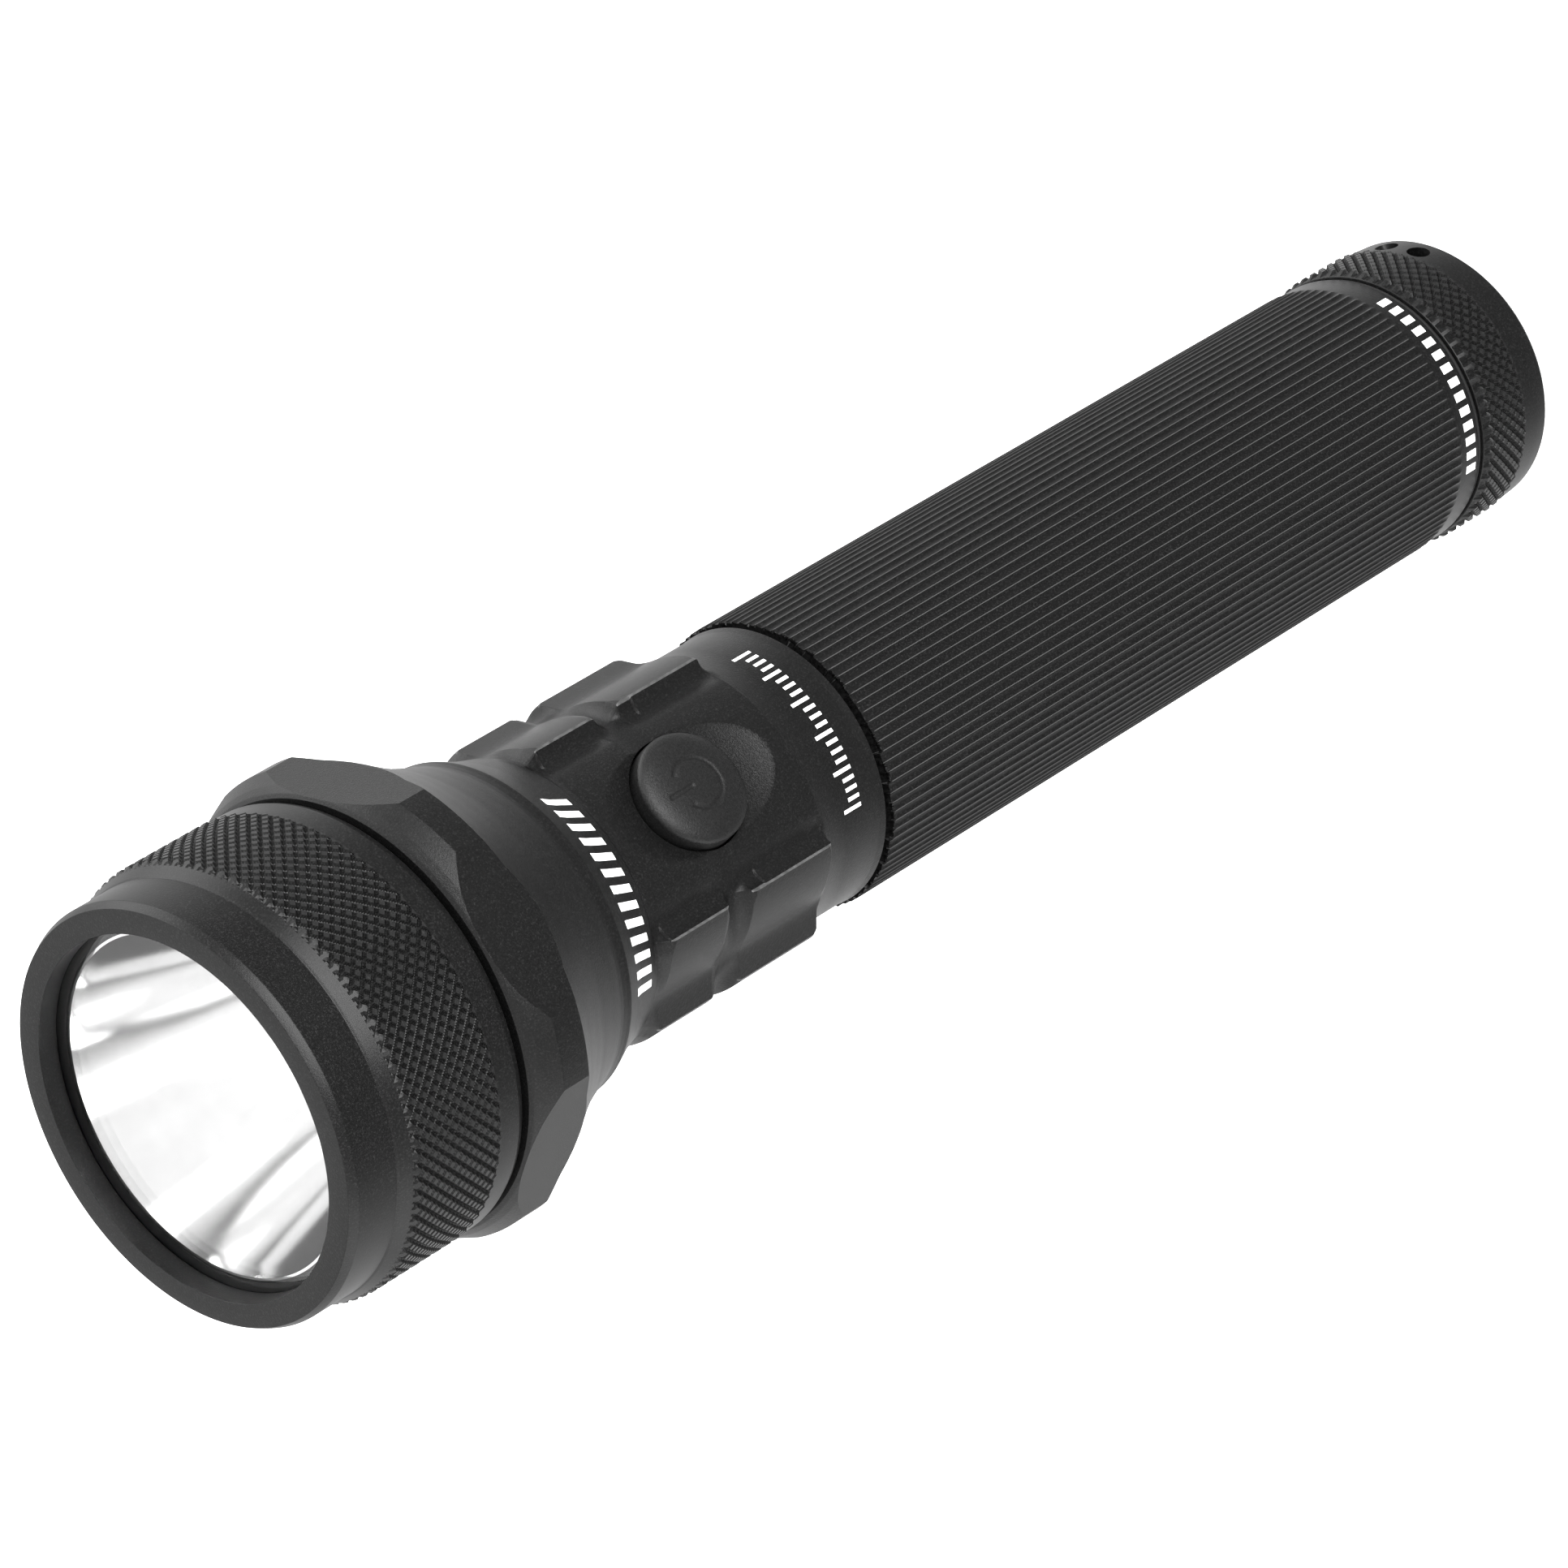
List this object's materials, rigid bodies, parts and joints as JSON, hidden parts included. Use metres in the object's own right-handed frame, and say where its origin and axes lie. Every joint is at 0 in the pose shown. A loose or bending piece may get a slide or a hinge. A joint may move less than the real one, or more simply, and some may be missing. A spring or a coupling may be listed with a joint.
{
  "type": "tactical flashlight",
  "caption": "Long-barrel metal flashlight with knurled screw-on face cap, hexagonal anti-roll ring, side push button in a scooped dish, ribbed battery tube and screw-on tail cap.",
  "frame": {"origin": "centre of the flat tail face, which the flashlight can stand on", "axes": "+Z along the barrel from the tail to the lens; the push button faces -Y"},
  "size_m": [0.062, 0.0606, 0.243],
  "materials": {
    "anodised_body": "fine bead-blasted black anodising",
    "seal_rubber": "satin",
    "button_rubber": "fine matte grain",
    "lens_glass": "polished",
    "reflector_mirror": "vacuum-metallised mirror",
    "bare_aluminium": "turned",
    "white_board": "solder mask",
    "green_board": "solder mask",
    "led_phosphor": "silicone dome",
    "screw_steel": "bright zinc",
    "spring_steel": "nickel plated",
    "red_wire": "insulation",
    "black_wire": "insulation",
    "inner_plastic": "moulded",
    "brass_contact": "turned",
    "cell_jacket": "printed film sleeve, plain"
  },
  "bodies": {
    "housing": {"neck_housing": "anodised_body", "battery_tube": "anodised_body", "face_cap_oring": "seal_rubber", "tail_cap_oring": "seal_rubber", "heat_sink": "bare_aluminium", "led_board": "white_board", "led_emitter": "led_phosphor", "board_screw_1": "screw_steel", "board_screw_2": "screw_steel", "positive_wire": "red_wire", "negative_wire": "black_wire", "switch_carrier": "inner_plastic", "switch_board": "green_board", "switch_body": "inner_plastic", "driver_board": "green_board", "driver_inductor": "inner_plastic", "contact_insulator": "inner_plastic", "front_contact": "brass_contact"},
    "button": {"button_cap": "button_rubber", "button_plunger": "inner_plastic"},
    "optics": {"reflector": "reflector_mirror", "reflector_gasket": "seal_rubber", "lens": "lens_glass", "lens_gasket": "seal_rubber"},
    "face_cap": {"face_cap": "anodised_body"},
    "cells": {"front_cell": "cell_jacket", "rear_cell": "cell_jacket"},
    "tail_cap": {"tail_cap": "anodised_body", "spring_plate": "brass_contact", "tail_spring": "spring_steel"}
  },
  "joints": [
    {"name": "button_press", "type": "slide", "parent": "housing", "child": "button", "axis": [0, 1, 0], "range_m": [0, 0.0015], "stiffness_N_per_m": 900},
    {"name": "optics_lift", "type": "slide", "parent": "housing", "child": "optics", "axis": [0, 0, 1], "range_m": [0, 0.009]},
    {"name": "face_cap_turn", "type": "hinge", "parent": "optics", "child": "face_cap", "pos_m": [0, 0, 0.23], "axis": [0, 0, 1], "range_deg": [0, 2160]},
    {"name": "cells_drop", "type": "slide", "parent": "housing", "child": "cells", "axis": [0, 0, -1], "range_m": [0, 0.009]},
    {"name": "tail_cap_turn", "type": "hinge", "parent": "cells", "child": "tail_cap", "pos_m": [0, 0, 0.01], "axis": [0, 0, -1], "range_deg": [0, 2160]}
  ],
  "couplings": [
    {"joint": "face_cap_turn", "follows": "optics_lift", "rad_per_m": 4188.8},
    {"joint": "tail_cap_turn", "follows": "cells_drop", "rad_per_m": 4188.8}
  ]
}
